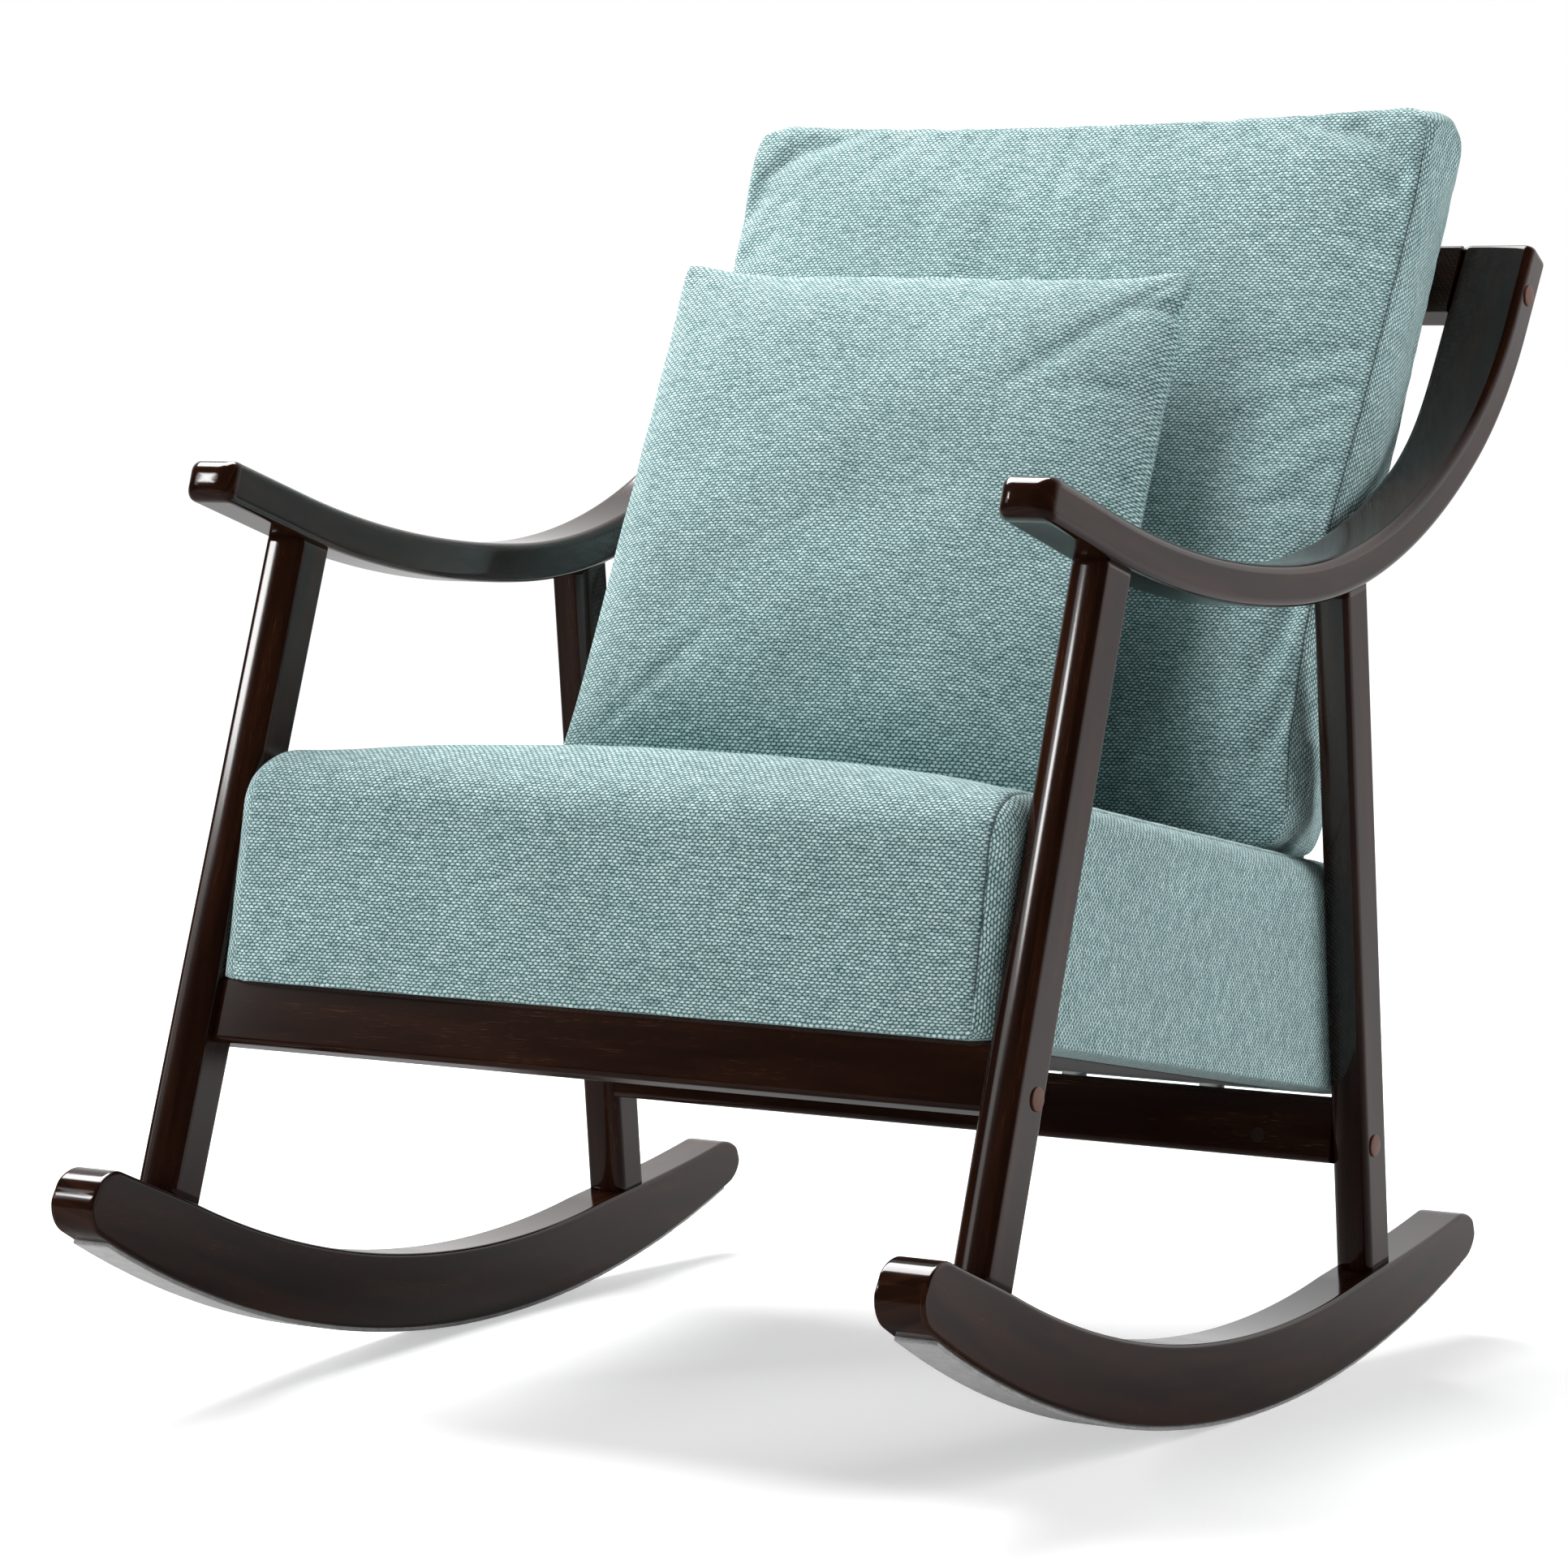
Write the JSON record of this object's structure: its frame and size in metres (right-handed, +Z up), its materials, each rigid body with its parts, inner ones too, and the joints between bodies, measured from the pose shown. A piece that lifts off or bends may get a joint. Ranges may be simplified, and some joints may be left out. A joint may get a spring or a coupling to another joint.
{
  "type": "upholstered rocking chair",
  "caption": "Rocking chair with a dark lacquered wood frame, an upholstered seat, a loose back cushion and a small loose pillow.",
  "frame": {"origin": "on the floor, under the middle of the whole chair", "axes": "+X to the viewer's right seen from the front, +Y to the rear, +Z up; the front of the chair faces -Y"},
  "size_m": [0.6652, 0.9061, 0.8716],
  "materials": {
    "lacquered_wood": "satin",
    "bare_wood": "matte",
    "seafoam_fabric": "matte",
    "zip_tape": "matte",
    "grey_felt": "matte",
    "black_cloth": "matte",
    "cream_foam": "matte",
    "cream_ticking": "matte",
    "zinc_steel": "satin",
    "brown_plastic": "satin",
    "pale_nylon": "satin"
  },
  "bodies": {
    "frame": {"rocker_left": "lacquered_wood", "rocker_right": "lacquered_wood", "felt_strip_left": "grey_felt", "felt_strip_right": "grey_felt", "front_leg_left": "lacquered_wood", "front_leg_right": "lacquered_wood", "rear_leg_left": "lacquered_wood", "rear_leg_right": "lacquered_wood", "arm_left": "lacquered_wood", "arm_right": "lacquered_wood", "front_rail": "lacquered_wood", "rear_rail": "lacquered_wood", "top_back_rail": "lacquered_wood", "back_slat_1": "lacquered_wood", "back_slat_2": "lacquered_wood", "back_slat_3": "lacquered_wood", "back_slat_4": "lacquered_wood", "back_slat_5": "lacquered_wood", "frame_bolts": "zinc_steel", "barrel_nuts": "zinc_steel", "bolt_caps": "brown_plastic", "barrel_nut_plugs": "brown_plastic", "rail_dowels": "bare_wood", "leg_dowels": "bare_wood", "slat_screws": "zinc_steel", "seat_cover": "seafoam_fabric", "seat_base_frame": "bare_wood", "seat_webbing": "black_cloth", "seat_foam": "cream_foam", "seat_dust_cover": "black_cloth", "seat_spacers": "pale_nylon", "seat_screws": "zinc_steel"},
    "back_cushion": {"back_cushion_cover": "seafoam_fabric", "back_cushion_inner_bag": "cream_ticking", "back_cushion_zip": "zip_tape"},
    "pillow": {"pillow_cover": "seafoam_fabric", "pillow_inner_bag": "cream_ticking", "pillow_zip": "zip_tape"}
  },
  "joints": [
    {"name": "back_cushion_lift", "type": "slide", "parent": "frame", "child": "back_cushion", "axis": [0, 0, 1], "range_m": [0, 0.45]},
    {"name": "pillow_lift", "type": "slide", "parent": "back_cushion", "child": "pillow", "axis": [0.1305, -0.8732, 0.4695], "range_m": [0, 0.25]}
  ]
}
